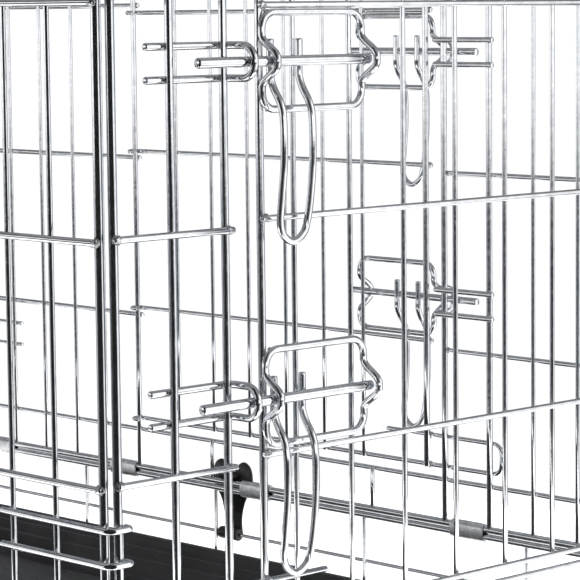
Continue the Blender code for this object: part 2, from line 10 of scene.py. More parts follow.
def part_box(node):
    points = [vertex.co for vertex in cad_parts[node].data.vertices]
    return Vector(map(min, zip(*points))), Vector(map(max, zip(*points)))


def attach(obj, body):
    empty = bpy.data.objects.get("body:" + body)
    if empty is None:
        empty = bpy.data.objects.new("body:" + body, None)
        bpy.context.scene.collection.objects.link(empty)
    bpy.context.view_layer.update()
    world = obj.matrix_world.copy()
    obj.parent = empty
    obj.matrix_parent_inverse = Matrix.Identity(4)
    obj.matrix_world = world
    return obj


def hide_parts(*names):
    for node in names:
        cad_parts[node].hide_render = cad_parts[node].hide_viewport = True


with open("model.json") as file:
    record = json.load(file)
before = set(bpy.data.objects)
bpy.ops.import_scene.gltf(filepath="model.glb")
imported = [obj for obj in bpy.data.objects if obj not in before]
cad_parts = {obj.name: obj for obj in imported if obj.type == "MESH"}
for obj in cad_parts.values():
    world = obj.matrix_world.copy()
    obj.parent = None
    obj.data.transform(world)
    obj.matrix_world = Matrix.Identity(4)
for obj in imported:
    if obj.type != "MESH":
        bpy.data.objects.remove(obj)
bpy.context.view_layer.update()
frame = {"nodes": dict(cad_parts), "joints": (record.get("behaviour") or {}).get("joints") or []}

MM = 0.001
UP = Vector((0, 0, 1))
WIRE_SEED = 7
noise.seed_set(WIRE_SEED)


def top_of(node):
    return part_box(node)[1] / MM


def bottom_of(node):
    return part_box(node)[0] / MM


# ---- places read from the frame, in millimetres
CAD_ROD_HALF = 1.9
CAD_DOOR_WIRE_HALF = 1.4
JOINTS = {joint["name"]: joint for joint in frame["joints"]}
HALF_L = JOINTS["front_end_fold"]["pos_m"][0] / MM
HALF_W = JOINTS["side_door_swing"]["pos_m"][1] / MM
LENGTH = 2 * HALF_L
WIDTH = 2 * HALF_W
FRONT_AXLE_Z = JOINTS["front_end_fold"]["pos_m"][2] / MM
REAR_AXLE_Z = JOINTS["rear_end_fold"]["pos_m"][2] / MM
TOP_Y = JOINTS["top_lift"]["pos_m"][1] / MM
TOP_Z = JOINTS["top_lift"]["pos_m"][2] / MM
ROD_STEP = HALF_W - TOP_Y
RAIL_Z = REAR_AXLE_Z - ROD_STEP
FRONT_RAIL_Z = FRONT_AXLE_Z - ROD_STEP
FRONT_HINGE = HALF_W + JOINTS["front_door_swing"]["pos_m"][1] / MM
SIDE_HINGE = HALF_L - JOINTS["side_door_swing"]["pos_m"][0] / MM
END_TOP_Z = top_of("end_panel_rear").z - CAD_ROD_HALF
DOOR_BOTTOM_Z = bottom_of("front_door").z + CAD_DOOR_WIRE_HALF
DOOR_TOP_Z = top_of("front_door").z - CAD_DOOR_WIRE_HALF

# ---- heights of the cross wires
LINTEL_Z = DOOR_TOP_Z + 8.0
SILL_Z = DOOR_BOTTOM_Z - 7.9
LOWER_WIRE_Z = 45.9
STOP_LOOP_Z = 133.0
SIDE_FIXED_Z = (186.7, 294.9, 398.3)
END_FIXED_Z = (188.2, 296.0, 401.0)
HOOK_Z = (154.0, 169.5, 424.5, 440.0)

# ---- upright wires along each panel, from its front or near corner
SIDE_LATCH_STRIP = (4.0, 37.5, 70.0, 104.5, 138.5, 173.0, 209.5)
SIDE_HINGE_STRIP = (533.0, 565.0, 600.5, 635.5, 666.5, 700.0)
SIDE_FIRST = (4.0, 37.5, 68.5)
SIDE_BAYS = 16
TOP_BAYS = 20
TOP_FIRST = 6.0
REAR_BAYS = 12
BELOW_SIDE_DOOR = (272.0, 346.5, 422.5)
END_LATCH_STRIP = (38.1, 69.9)
END_HINGE_STRIP = (401.9,)
END_NEAR_POST = 4.6
END_FAR_POST = 431.6
FRONT_DOOR = {"edge": 91.2, "first": 111.5, "pitch": 36.4, "count": 7, "hinge": FRONT_HINGE,
              "cross_z": (191.9, 300.1, 396.4)}
SIDE_DOOR = {"edge": 225.2, "first": 245.0, "pitch": 35.2, "count": 7, "hinge": SIDE_HINGE,
             "cross_z": (191.4, 299.2, 393.4)}
WALL_WIRES = (143.9, 279.6, 419.5, 556.0)
FLOOR_RUNNERS_Y = (-189.0, -126.0, -63.0, 0.0, 63.0, 126.0, 189.0)
TOP_RUNNERS_Y = (-108.0, 0.0, 108.0)

# ---- wire radii
POST_R = 2.1
STRIP_R = 1.9
UPRIGHT_R = 1.3
CROSS_R = 1.6
DOOR_CROSS_R = 1.5
ROD_R = 2.15
TOP_ROD_R = 1.8
TOP_RUNNER_R = 1.35
HINGE_R = 1.75
LATCH_R = 1.75
BOLT_R = 2.4
HOOK_R = 1.55
LOWER_WIRE_R = 1.25
FLOOR_END_R = 1.25
RUNNER_R = 1.45
CORNER_R = 1.9

# ---- how far each layer of wires stands out from its panel's middle
CROSS_OUT = 2.5
FRONT_CROSS_OUT = 2.6
TOP_RUNNER_OUT = 2.45
DOOR_OUT = 1.2
DOOR_CROSS_OUT = 3.7
LOWER_WIRE_OUT = 2.3

# ---- how far wires run past the wires they are welded to, or stop short of a corner
UPRIGHT_PAST = 1.0
DOOR_UPRIGHT_PAST = 0.9
SIDE_CROSS_INSET = 2.2
STRIP_PAST = 3.2
HINGE_PAST = 2.6
POST_PAST = 1.9
ROD_INSET = 0.4
TOP_PAST = 1.8
DOOR_EDGE_PAST = 2.3

# ---- how far drawn wire wanders from straight
UPRIGHT_WAVE = 0.12
CROSS_WAVE = 0.08
DOOR_WAVE = 0.06

# ---- welds: height over the touching point, reach in wire radii, depth, roughness
WELD_ROUGH = 0.16
CROSSING_WELD = (0.0, 1.08, 0.75, WELD_ROUGH)
HEAVY_WELD = (0.2, 0.9, 1.15, WELD_ROUGH)
END_WELD = (0.9, 1.25, 1.7, 0.55)
HEAVY_WIRE = 1.6
END_WELD_SPAN = 6
FINE_MESH_ROUGH = 0.3

# ---- doors: the hook round the hinge post and the stop loop of the bottom wire
WRAP_RUN = 6.0
WRAP_START = 90
WRAP_TURN = 225
WRAP_STEPS = 8
LOOP_TIP = 60.2
LOOP_BACK = 36.8
LOOP_WELDS = (2, 36.0)
LOOP_CORNER = 8.0

# ---- latches
CLEARANCE = 0.3
BRACKET_OUT = 4.55
BRACKET_WIDTH = 63.5
BRACKET_HALF_H = 21.9
BRACKET_CORNER = 7.5
BRACKET_SEAM = 0.34
BOLT_OUT = 10.4
BOLT_LENGTH = 107.5
EAR_OUT = BOLT_OUT + BOLT_R + CLEARANCE + LATCH_R
ARM_OUT = BOLT_OUT - BOLT_R - CLEARANCE - LATCH_R
EAR_HALF_H = 11.5
EAR_FLAT = 0.12
HANDLE_TIP = 10.0
HANDLE_DROP = 82.0
HANDLE_ARM = ((HANDLE_TIP, ARM_OUT), (0.0, ARM_OUT), (-7.0, ARM_OUT), (-12.5, ARM_OUT + 2.2), (-19.0, 12.4),
              (-27.0, 14.3), (-45.0, 14.4), (-62.0, 12.6))
HANDLE_FOOT = ((0.6, 10.9, 9), (3.0, 10.5, 3.2))
HANDLE_FOOT_OUT = 10.4
KEEPER_IN = STRIP_R + CLEARANCE + LATCH_R
KEEPER_HALF_H = 7.35
KEEPER_LENGTH = 48.4
KEEPER_CORNER = 4.5
LATCH_SIDES = 18
FRONT_LATCH = {"ring": 75.5, "tip": 45.0, "bracket": 89.5, "arms": (48.3, 66.3),
               "heights": (218.05, 371.2), "welds": END_LATCH_STRIP}
SIDE_LATCH = {"ring": 215.0, "tip": 192.0, "bracket": 222.7, "arms": (45.0, 63.0),
              "heights": (217.0, 368.0), "welds": SIDE_LATCH_STRIP[-2:]}

# ---- corner hooks
HOOK_OUT = POST_R + CLEARANCE + HOOK_R
HOOK_ARM = 72.5
HOOK_END = 0.6
HOOK_BEND = 5.0
HOOK_WELDS = ((4.0, POST_R), (37.5, UPRIGHT_R), (69.0, UPRIGHT_R))

# ---- sleeves
SLEEVE_WALL = 1.0
SLEEVE_SIDES = 28
SLEEVE_STATIONS = (-0.5, -0.485, -0.46, -0.2, 0.0, 0.2, 0.46, 0.485, 0.5)
SLEEVE_DENT = 0.05

# ---- base
CORNER_INSET = 1.0
CORNER_BOTTOM = 3.0
WALL_WIRE_BOTTOM = 4.3
FLOOR_END_Z = 4.2
RUNNER_Z = 1.5


# ---- places on each panel: u along it, w outwards, z up
def front_place(u, w, z):
    return Vector((HALF_L + w, u - HALF_W, z))


def rear_place(u, w, z):
    return Vector((-HALF_L - w, u - HALF_W, z))


def far_place(u, w, z):
    return Vector((HALF_L - u, HALF_W + w, z))


def near_place(u, w, z):
    return Vector((HALF_L - u, -HALF_W - w, z))


def top_place(u, w, y):
    """The top lies flat: u along it, w up from it and y across it."""
    return Vector((u, y, TOP_Z + w))


def axes(place):
    """The directions along a panel and out of it."""
    return place(1, 0, 0) - place(0, 0, 0), place(0, 1, 0) - place(0, 0, 0)


# ---- materials
def color_ramp(tree, value, stops):
    """A ramp through (position, color) stops."""
    made = tree.nodes.new("ShaderNodeValToRGB")
    tree.links.new(value, made.inputs["Fac"])
    elements = made.color_ramp.elements
    while len(elements) < len(stops):
        elements.new(0.5)
    for element, (position, color) in zip(elements, stops):
        element.position = position
        element.color = (*color, 1.0)
    return made.outputs["Color"]


class Shader:
    """A short way to wire up a node material."""

    def __init__(self, name):
        self.material = bpy.data.materials.new(name)
        self.material.use_nodes = True
        self.tree = self.material.node_tree
        self.base = self.tree.nodes["Principled BSDF"]
        self.place = self.node("ShaderNodeTexCoord").outputs["Object"]

    def node(self, kind, **values):
        made = self.tree.nodes.new(kind)
        for key, value in values.items():
            made.inputs[key].default_value = value
        return made

    def noise(self, scale, detail):
        texture = self.node("ShaderNodeTexNoise", Scale=scale, Detail=detail)
        self.tree.links.new(self.place, texture.inputs["Vector"])
        return texture.outputs["Fac"]

    def ramp(self, value, stops):
        return color_ramp(self.tree, value, stops)

    def spread(self, value, low, high):
        """A noise's middle range, spread between two values."""
        ranged = self.node("ShaderNodeMapRange")
        self.tree.links.new(value, ranged.inputs["Value"])
        for name, end in (("From Min", 0.3), ("From Max", 0.7), ("To Min", low), ("To Max", high)):
            ranged.inputs[name].default_value = end
        return ranged.outputs["Result"]

    def bump(self, value, strength, distance, normal=None):
        bump = self.node("ShaderNodeBump", Strength=strength, Distance=distance)
        self.tree.links.new(value, bump.inputs["Height"])
        if normal:
            self.tree.links.new(normal, bump.inputs["Normal"])
        return bump.outputs["Normal"]

    def feed(self, socket, value):
        self.tree.links.new(value, self.base.inputs[socket])


def zinc_wire():
    """Bright drawn wire: mottled plating and a fine grain over shallow waves."""
    s = Shader("bright_zinc_wire")
    s.base.inputs["Metallic"].default_value = 1.0
    mottle = s.noise(140.0, 4.0)
    s.feed("Base Color", s.ramp(mottle, [(0.35, (0.66, 0.675, 0.695)), (0.6, (0.79, 0.8, 0.815))]))
    s.feed("Roughness", s.spread(s.noise(420.0, 2.0), 0.06, 0.14))
    grain = s.bump(s.noise(1500.0, 2.0), 0.05, 0.0001)
    s.feed("Normal", s.bump(s.noise(200.0, 2.0), 0.05, 0.0004, grain))
    return s.material


def weld_zinc():
    """Duller, rougher metal for the welds."""
    s = Shader("weld_zinc")
    s.base.inputs["Metallic"].default_value = 1.0
    s.feed("Base Color", s.ramp(s.noise(900.0, 3.0), [(0.35, (0.36, 0.36, 0.37)), (0.65, (0.8, 0.81, 0.82))]))
    s.feed("Roughness", s.spread(s.noise(700.0, 2.0), 0.2, 0.5))
    s.feed("Normal", s.bump(s.noise(1100.0, 3.0), 0.5, 0.0005))
    return s.material


def zinc_sheet():
    """Galvanised sheet with small spangles."""
    s = Shader("zinc_sheet")
    s.base.inputs["Metallic"].default_value = 1.0
    spangle = s.node("ShaderNodeTexVoronoi", Scale=320.0)
    s.tree.links.new(s.place, spangle.inputs["Vector"])
    colors = [(0.2, (0.74, 0.74, 0.75)), (0.8, (0.92, 0.93, 0.94))]
    s.feed("Base Color", s.ramp(spangle.outputs["Color"], colors))
    s.feed("Roughness", s.spread(s.noise(500.0, 3.0), 0.28, 0.5))
    s.feed("Normal", s.bump(s.noise(900.0, 3.0), 0.3, 0.0003))
    return s.material


def black_plastic():
    """Moulded black plastic with a fine grain."""
    s = Shader("black_plastic")
    colors = [(0.3, (0.006, 0.006, 0.0065)), (0.7, (0.014, 0.014, 0.015))]
    s.feed("Base Color", s.ramp(s.noise(30.0, 5.0), colors))
    s.base.inputs["Specular IOR Level"].default_value = 0.42
    s.feed("Roughness", s.spread(s.noise(220.0, 4.0), 0.27, 0.42))
    s.feed("Normal", s.bump(s.noise(1800.0, 2.0), 0.25, 0.0002))
    return s.material


ZINC = zinc_wire()
WELD = weld_zinc()
SHEET = zinc_sheet()
PLASTIC = black_plastic()


# ---- wires as meshes
def rounded(points, radius, steps):
    """A line of points with its corners turned into arcs."""
    points = [Vector(p) for p in points]
    line = [points[0]]
    for before, corner, after in zip(points, points[1:], points[2:]):
        back = before - corner
        ahead = after - corner
        reach = min(radius, back.length * 0.49, ahead.length * 0.49)
        start = corner + back.normalized() * reach
        end = corner + ahead.normalized() * reach
        for step in range(steps + 1):
            t = step / steps
            line.append(start * (1 - t) ** 2 + corner * 2 * t * (1 - t) + end * t ** 2)
    line.append(points[-1])
    return line


def spline(points, steps):
    """A smooth curve through points."""
    points = [Vector(p) for p in points]
    last = len(points) - 1
    line = []
    for i in range(last):
        a, b, c, d = (points[min(max(i + k - 1, 0), last)] for k in range(4))
        for step in range(steps):
            t = step / steps
            line.append(0.5 * ((2 * b) + (c - a) * t + (2 * a - 5 * b + 4 * c - d) * t * t
                               + (3 * b - a - 3 * c + d) * t ** 3))
    line.append(points[-1])
    return line


def sweep(mesh, line, radius, closed=False, sides=16, cap=0.35):
    """A round wire along a line of points, with softened cut ends."""
    line = [Vector(p) for p in line]
    radii = [radius] * len(line)
    if not closed:
        soft = radius * cap
        head = (line[1] - line[0]).normalized()
        tail = (line[-1] - line[-2]).normalized()
        line = [line[0], line[0] + head * soft * 0.35, line[0] + head * soft] + line[1:-1] + \
               [line[-1] - tail * soft, line[-1] - tail * soft * 0.35, line[-1]]
        radii = [radius - soft, radius - soft * 0.35, radius] + radii[1:-1] + \
                [radius, radius - soft * 0.35, radius - soft]
    count = len(line)
    rings = []
    across = None
    for i, at in enumerate(line):
        ahead = line[(i + 1) % count] if closed or i + 1 < count else at
        behind = line[i - 1] if closed or i else at
        along = (ahead - behind).normalized()
        if across is None:
            across = along.orthogonal().normalized()
        across = (across - along * across.dot(along)).normalized()
        side = along.cross(across)
        ring = []
        for k in range(sides):
            angle = 2 * math.pi * k / sides
            offset = across * math.cos(angle) + side * math.sin(angle)
            ring.append(mesh.verts.new((at + offset * radii[i]) * MM))
        rings.append(ring)
    faces = []
    pairs = list(zip(rings, rings[1:]))
    if closed:
        first = rings[0]
        shift = min(range(sides), key=lambda k: (first[k].co - rings[-1][0].co).length)
        pairs.append((rings[-1], first[shift:] + first[:shift]))
    for low, high in pairs:
        faces += skin(mesh, low, high)
    if not closed:
        faces.append(mesh.faces.new(list(reversed(rings[0]))))
        faces.append(mesh.faces.new(rings[-1]))
    for face in faces:
        face.smooth = True


def skin(mesh, low, high):
    """Faces between two rings of as many points."""
    count = len(low)
    return [mesh.faces.new((low[k], low[(k + 1) % count], high[(k + 1) % count], high[k]))
            for k in range(count)]


def wavy(a, b, amount=UPRIGHT_WAVE, step=70.0):
    """A nearly straight line from a to b, as drawn wire really lies."""
    a, b = Vector(a), Vector(b)
    count = max(2, int((b - a).length / step))
    line = []
    for i in range(count + 1):
        at = a.lerp(b, i / count)
        if 0 < i < count:
            at += noise.noise_vector(at * 0.013) * amount
        line.append(at)
    return line


def weld(mesh, at, across, along, out, reach, depth, rough=WELD_ROUGH):
    """A small flattened pool of metal where two wires cross."""
    made = bmesh.ops.create_icosphere(mesh, subdivisions=3 if rough > FINE_MESH_ROUGH else 2, radius=1.0)
    turn = Matrix((across, along, out)).transposed()
    for vert in made["verts"]:
        lump = 1.0 + rough * noise.noise(vert.co * 2.1 + at * 0.37)
        local = Vector((vert.co.x * reach, vert.co.y * reach * 0.8, vert.co.z * depth)) * lump
        vert.co = (at + turn @ local) * MM
    for face in {face for vert in made["verts"] for face in vert.link_faces}:
        face.material_index = 1
        face.smooth = True


def show(name, mesh, materials):
    """Turn a finished mesh into an object of the scene."""
    data = bpy.data.meshes.new(name)
    mesh.to_mesh(data)
    mesh.free()
    for material in materials:
        data.materials.append(material)
    shown = bpy.data.objects.new(name, data)
    bpy.context.scene.collection.objects.link(shown)
    return shown


def piece(name, mesh, body, node, materials=(ZINC, WELD)):
    """Show a mesh in place of one CAD node, riding with its body."""
    bmesh.ops.recalc_face_normals(mesh, faces=mesh.faces)
    shown = show(name, mesh, materials)
    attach(shown, body)
    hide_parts(node)
    return shown


class Panel:
    """A welded wire panel: uprights, cross wires on their outer side, and a weld at each crossing."""

    def __init__(self, place, out=0.0):
        self.mesh = bmesh.new()
        self.place = place
        self.out = out
        self.uprights = []

    def upright(self, u, radius, low, high):
        self.uprights.append((u, radius, low, high))
        start = self.place(u, self.out, low)
        sweep(self.mesh, wavy(start, self.place(u, self.out, high)), radius)

    def cross(self, u, z, out, radius=CROSS_R):
        start = self.place(u[0], out, z)
        sweep(self.mesh, wavy(start, self.place(u[1], out, z), CROSS_WAVE), radius)
        self.welds(u, z, out, radius)

    def rods(self, u, heights):
        """The thick rods at the panel's bottom and top."""
        for z in heights:
            self.cross(u, z, 0.0, ROD_R)

    def welds(self, u, z, out, radius):
        """Welds of a cross wire to each upright that it meets, heavier on thick ones and at its ends."""
        across, outward = axes(self.place)
        for at, thick, low, high in self.uprights:
            if not (u[0] - 1.5 < at < u[1] + 1.5 and low - 1 < z < high + 1):
                continue
            kinds = [CROSSING_WELD]
            if thick > HEAVY_WIRE:
                kinds.append(HEAVY_WELD)
                if min(abs(at - u[0]), abs(at - u[1])) < END_WELD_SPAN:
                    kinds.append(END_WELD)
            touch = (self.out + thick + out - radius) / 2
            for lift, reach, depth, rough in kinds:
                weld(self.mesh, self.place(at, touch + lift, z), across, UP, outward,
                     thick * reach, depth, rough)


# ---- panels
def side_panels():
    low = REAR_AXLE_Z
    high = TOP_Z + UPRIGHT_PAST
    across = (SIDE_CROSS_INSET, LENGTH - SIDE_CROSS_INSET)

    near = Panel(near_place)
    post, second, third = SIDE_FIRST
    bays = [third + (LENGTH - 2 * third) * i / SIDE_BAYS for i in range(SIDE_BAYS + 1)]
    for u in [post, second, *bays, LENGTH - second, LENGTH - post]:
        near.upright(u, POST_R if u in (post, LENGTH - post) else UPRIGHT_R, low, high)
    for z in (SILL_Z, *SIDE_FIXED_Z, LINTEL_Z):
        near.cross(across, z, CROSS_OUT)
    near.rods(across, (REAR_AXLE_Z, TOP_Z))
    piece("near_side_wires", near.mesh, "cage_base", "side_panel_near")

    far = Panel(far_place)
    latch_pair = SIDE_LATCH["welds"]
    for u in SIDE_LATCH_STRIP:
        thick = POST_R if u == SIDE_LATCH_STRIP[0] else (STRIP_R if u in latch_pair else UPRIGHT_R)
        far.upright(u, thick, low, high)
    far.upright(SIDE_HINGE, HINGE_R, low, high)
    for u in SIDE_HINGE_STRIP:
        far.upright(u, POST_R if u == SIDE_HINGE_STRIP[-1] else UPRIGHT_R, low, high)
    for u in BELOW_SIDE_DOOR:
        far.upright(u, UPRIGHT_R, low, SILL_Z + DOOR_UPRIGHT_PAST)
    for z in (SILL_Z, LINTEL_Z):
        far.cross(across, z, CROSS_OUT)
    for z in SIDE_FIXED_Z:
        far.cross((SIDE_CROSS_INSET, SIDE_LATCH_STRIP[-1] + STRIP_PAST), z, CROSS_OUT)
        far.cross((SIDE_HINGE - HINGE_PAST, LENGTH - SIDE_CROSS_INSET), z, CROSS_OUT)
    far.rods(across, (REAR_AXLE_Z, TOP_Z))
    piece("far_side_wires", far.mesh, "cage_base", "side_panel_far")


def end_panels():
    high = END_TOP_Z + UPRIGHT_PAST
    near_end = END_NEAR_POST - POST_PAST
    far_end = END_FAR_POST + POST_PAST
    front = Panel(front_place)
    for u in (END_NEAR_POST, END_FAR_POST):
        front.upright(u, POST_R, FRONT_AXLE_Z, high)
    for u in (*END_LATCH_STRIP, *END_HINGE_STRIP):
        front.upright(u, STRIP_R, FRONT_AXLE_Z, high)
    front.upright(FRONT_HINGE, HINGE_R, FRONT_AXLE_Z, high)
    for z in (SILL_Z, LINTEL_Z):
        front.cross((near_end, far_end), z, FRONT_CROSS_OUT)
    for z in END_FIXED_Z:
        front.cross((near_end, END_LATCH_STRIP[-1] + STRIP_PAST), z, FRONT_CROSS_OUT)
        front.cross((FRONT_HINGE - HINGE_PAST, far_end), z, FRONT_CROSS_OUT)
    front.rods((near_end + ROD_INSET, far_end - ROD_INSET), (FRONT_AXLE_Z, END_TOP_Z))
    piece("front_end_wires", front.mesh, "front_end", "end_panel_front")

    rear = Panel(rear_place)
    first = WIDTH - END_FAR_POST
    for i in range(REAR_BAYS + 1):
        u = first + (END_FAR_POST - first) * i / REAR_BAYS
        rear.upright(u, POST_R if i in (0, REAR_BAYS) else UPRIGHT_R, REAR_AXLE_Z, high)
    span = (first - POST_PAST, far_end)
    for z in (SILL_Z, *END_FIXED_Z, LINTEL_Z):
        rear.cross(span, z, CROSS_OUT)
    rear.rods((span[0] + ROD_INSET, span[1] - ROD_INSET), (REAR_AXLE_Z, END_TOP_Z))
    piece("rear_end_wires", rear.mesh, "rear_end", "end_panel_rear")


def top_panel():
    top = Panel(top_place)
    first = HALF_L - TOP_FIRST
    for i in range(TOP_BAYS + 1):
        top.upright(-first + 2 * first * i / TOP_BAYS, UPRIGHT_R, -TOP_Y, TOP_Y)
    span = (-first - TOP_PAST, first + TOP_PAST)
    for y in (-TOP_Y, TOP_Y):
        sweep(top.mesh, wavy(top_place(span[0], 0, y), top_place(span[1], 0, y), DOOR_WAVE), TOP_ROD_R)
    for y in TOP_RUNNERS_Y:
        start = top_place(span[0], TOP_RUNNER_OUT, y)
        sweep(top.mesh, wavy(start, top_place(span[1], TOP_RUNNER_OUT, y), CROSS_WAVE), TOP_RUNNER_R)
        for u, _, _, _ in top.uprights:
            weld(top.mesh, top_place(u, 1.1, y), Vector((1, 0, 0)), Vector((0, 1, 0)), UP, 1.5, 0.7)
    piece("top_wires", top.mesh, "top", "top_panel")


def door(name, body, node, place, sizes):
    """A door: a thick latch edge, thin uprights, and cross wires hooked round the hinge post."""
    panel = Panel(place, DOOR_OUT)
    low = DOOR_BOTTOM_Z - DOOR_UPRIGHT_PAST
    high = DOOR_TOP_Z + DOOR_UPRIGHT_PAST
    edge = sizes["edge"]
    edge_out = DOOR_OUT + UPRIGHT_R - STRIP_R
    panel.uprights.append((edge, STRIP_R, low, high))
    sweep(panel.mesh, wavy(place(edge, edge_out, low), place(edge, edge_out, high)), STRIP_R)
    for i in range(sizes["count"]):
        panel.upright(sizes["first"] + sizes["pitch"] * i, UPRIGHT_R, low, high)
    start = edge - DOOR_EDGE_PAST
    stop = sizes["hinge"] - WRAP_RUN
    last = sizes["first"] + sizes["pitch"] * (sizes["count"] - 1)
    for z in (DOOR_BOTTOM_Z, *sizes["cross_z"], DOOR_TOP_Z):
        line = wavy(place(start, DOOR_CROSS_OUT, z), place(stop, DOOR_CROSS_OUT, z), DOOR_WAVE)
        if z == DOOR_BOTTOM_Z:
            line = stop_loop(place, edge, z) + line[1:]
        sweep(panel.mesh, line + wrap(place, sizes["hinge"], z), DOOR_CROSS_R)
        panel.welds((start, last + 2), z, DOOR_CROSS_OUT, DOOR_CROSS_R)
    before, after = LOOP_WELDS
    panel.welds((edge - before, edge + after), STOP_LOOP_Z, DOOR_CROSS_OUT, DOOR_CROSS_R)
    piece(name, panel.mesh, body, node)


def wrap(place, hinge, z):
    """A cross wire's end, bent round the hinge post."""
    line = []
    for step in range(WRAP_STEPS + 1):
        angle = math.radians(WRAP_START - WRAP_TURN * step / WRAP_STEPS)
        line.append(place(hinge + DOOR_CROSS_OUT * math.cos(angle), DOOR_CROSS_OUT * math.sin(angle), z))
    return line


def stop_loop(place, edge, z):
    """The bottom wire's start: from the door, along the upper prong, round its nose and back."""
    tip = edge - LOOP_TIP + CAD_DOOR_WIRE_HALF
    back = edge + LOOP_BACK
    corners = [place(back, DOOR_CROSS_OUT, STOP_LOOP_Z), place(tip, DOOR_CROSS_OUT, STOP_LOOP_Z),
               place(tip, DOOR_CROSS_OUT, z), place(edge, DOOR_CROSS_OUT, z)]
    return rounded(corners, LOOP_CORNER, 8)


# ---- latches
def latch(prefix, place, sizes, height, holder, door_body):
    """One latch: its bracket on the door, the bolt in it, the handle on the bolt, and the keeper."""
    piece(f"{prefix}_bracket_wire", bracket(place, sizes, height), door_body, f"{prefix}_bracket")
    piece(f"{prefix}_bolt_bar", bolt(place, sizes, height), f"{prefix}_bolt", f"{prefix}_bolt")
    piece(f"{prefix}_handle_wire", handle(place, sizes, height), f"{prefix}_handle", f"{prefix}_handle")
    piece(f"{prefix}_keeper_wire", keeper(place, sizes, height), holder, f"{prefix}_keeper")


def bracket(place, sizes, height):
    """A closed wire frame with an ear in each side, its seam in the lower bar."""
    left = sizes["bracket"]
    right = left + BRACKET_WIDTH
    top = height + BRACKET_HALF_H
    bottom = height - BRACKET_HALF_H
    outline = []
    for start, end, z in ((left, right, top), (right, left, bottom)):
        outline += arc_corner(place, start, z, end, height)
        outline += arc_corner(place, end, z, start, height, reverse=True)
        outline += ear(place, end, height, down=z > height)
    mesh = bmesh.new()
    sweep(mesh, outline, LATCH_R, closed=True, sides=LATCH_SIDES)
    across, outward = axes(place)
    seam = place(left + BRACKET_WIDTH * BRACKET_SEAM, BRACKET_OUT, bottom)
    weld(mesh, seam, UP, across, outward, LATCH_R * 1.04, LATCH_R * 1.06)
    for u in (left + 4, right - 6):
        for z in (top, bottom):
            weld(mesh, place(u, BRACKET_OUT - 1.3, z), across, UP, outward, 1.4, 0.7)
    return mesh


def bolt(place, sizes, height):
    tip = sizes["tip"]
    mesh = bmesh.new()
    line = [place(tip + BOLT_LENGTH * i / 6, BOLT_OUT, height) for i in range(7)]
    sweep(mesh, line, BOLT_R, sides=24)
    return mesh


def handle(place, sizes, height):
    """A hairpin: two arms over the bolt that curve out and meet in a foot."""
    one, two = (sizes["tip"] + arm for arm in sizes["arms"])
    foot = height - HANDLE_DROP
    line = [(one, w, height + z) for z, w in HANDLE_ARM]
    line += [(one + inset, w, foot + lift) for inset, w, lift in HANDLE_FOOT]
    line.append(((one + two) / 2, HANDLE_FOOT_OUT, foot))
    line += [(two - inset, w, foot + lift) for inset, w, lift in reversed(HANDLE_FOOT)]
    line += [(two, w, height + z) for z, w in reversed(HANDLE_ARM)]
    mesh = bmesh.new()
    sweep(mesh, spline([place(*p) for p in line], 7), LATCH_R, sides=LATCH_SIDES)
    across, outward = axes(place)
    for u in (one, two):
        weld(mesh, place(u, ARM_OUT + LATCH_R, height), across, UP, outward, 1.7, 0.5)
    return mesh


def keeper(place, sizes, height):
    """Two prongs behind the panel's uprights, joined by a round nose that takes the bolt."""
    ring = sizes["ring"]
    back = ring - KEEPER_LENGTH
    centre = EAR_OUT - KEEPER_HALF_H
    upper = height + KEEPER_HALF_H
    prong = rounded([place(back, -KEEPER_IN, upper), place(ring, -KEEPER_IN, upper),
                     place(ring, centre - 1, upper)], KEEPER_CORNER, 8)
    nose = []
    for step in range(1, 16):
        angle = math.pi * step / 16
        nose.append(place(ring, centre + KEEPER_HALF_H * math.sin(angle),
                          height + KEEPER_HALF_H * math.cos(angle)))
    mirror = [Vector((p.x, p.y, 2 * height - p.z)) for p in reversed(prong)]
    mesh = bmesh.new()
    sweep(mesh, prong + nose + mirror, LATCH_R, sides=LATCH_SIDES)
    across, outward = axes(place)
    for u in sizes["welds"]:
        for side in (1, -1):
            at = place(u, -STRIP_R - 0.1, height + side * KEEPER_HALF_H)
            weld(mesh, at, across, UP, outward, 1.9, 0.7)
    return mesh


def arc_corner(place, at, z, other, height, reverse=False):
    """The rounded corner of a bracket at (at, z), running from its side onto its bar, or back."""
    along = 1 if other > at else -1
    down = -1 if z > height else 1
    line = []
    for step in range(7):
        angle = math.pi / 2 * step / 6
        line.append(place(at + along * BRACKET_CORNER * (1 - math.sin(math.pi / 2 - angle)), BRACKET_OUT,
                          z + down * BRACKET_CORNER * (1 - math.sin(angle))))
    return list(reversed(line)) if reverse else line


def ear(place, u, height, down):
    """The bump in a bracket's side that the bolt runs through."""
    line = []
    for step in range(13):
        t = -1 + 2 * step / 12
        lift = 0.5 + 0.5 * math.cos(math.pi * max(0.0, (abs(t) - EAR_FLAT) / (1 - EAR_FLAT)))
        z = EAR_HALF_H * t * (-1 if down else 1)
        line.append(place(u, BRACKET_OUT + (EAR_OUT - BRACKET_OUT) * lift, height + z))
    return line


def latches():
    for side, place, sizes, holder in (("front", front_place, FRONT_LATCH, "front_end"),
                                       ("side", far_place, SIDE_LATCH, "cage_base")):
        for level, height in zip(("lower", "upper"), sizes["heights"]):
            latch(f"{side}_{level}", place, sizes, height, holder, f"{side}_door")


